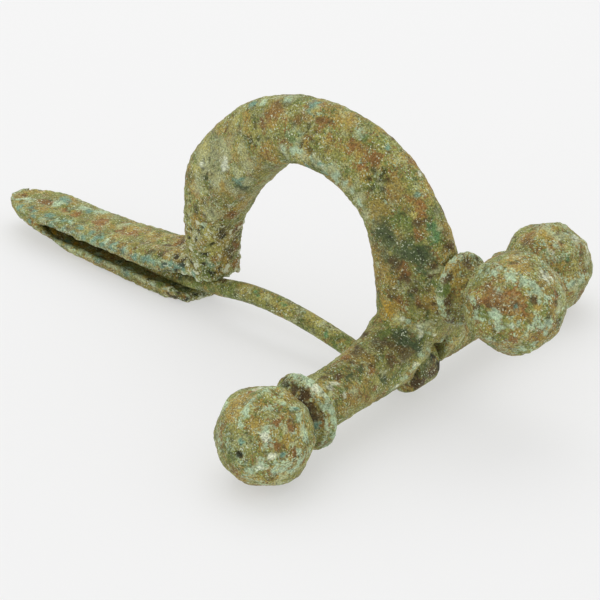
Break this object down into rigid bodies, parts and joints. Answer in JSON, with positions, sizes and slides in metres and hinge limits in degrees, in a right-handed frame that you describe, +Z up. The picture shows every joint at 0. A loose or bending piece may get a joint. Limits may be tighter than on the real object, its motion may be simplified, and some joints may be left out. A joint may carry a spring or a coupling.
{
  "type": "roman crossbow fibula brooch",
  "caption": "Cast copper-alloy crossbow brooch: arched bow on an onion-knobbed crossbar, long bevelled foot with a side-opening catch, and a hinged pin; crusted green-brown patina.",
  "frame": {"origin": "on the table, under the middle of the brooch's length and width, as it stands on its end knobs and the sole of its catch", "axes": "+X from the foot's tip towards the head knob, +Y along the crossbar away from the catch's open side, +Z up"},
  "size_m": [0.0924, 0.0674, 0.0347],
  "materials": {
    "cast_bronze": "corroded copper alloy, olive and orange-brown with dark green and pale turquoise crust",
    "knob_bronze": "corroded copper alloy, ochre and rust brown with pale blue-green crust along the worn ribs",
    "pin_bronze": "corroded copper alloy, smooth olive and ochre with bright green spots",
    "axle_bronze": "dark brown corroded copper alloy"
  },
  "bodies": {
    "brooch": {"bow_crossbar_and_foot": "cast_bronze", "near_end_knob": "knob_bronze", "far_end_knob": "knob_bronze", "head_knob": "knob_bronze", "hinge_axle": "axle_bronze"},
    "pin": {"pin": "pin_bronze"}
  },
  "joints": [
    {"name": "pin_hinge", "type": "hinge", "parent": "brooch", "child": "pin", "pos_m": [0.02507, -0.001, 0.0044], "axis": [0, -1, 0], "range_deg": [0, 100]}
  ]
}
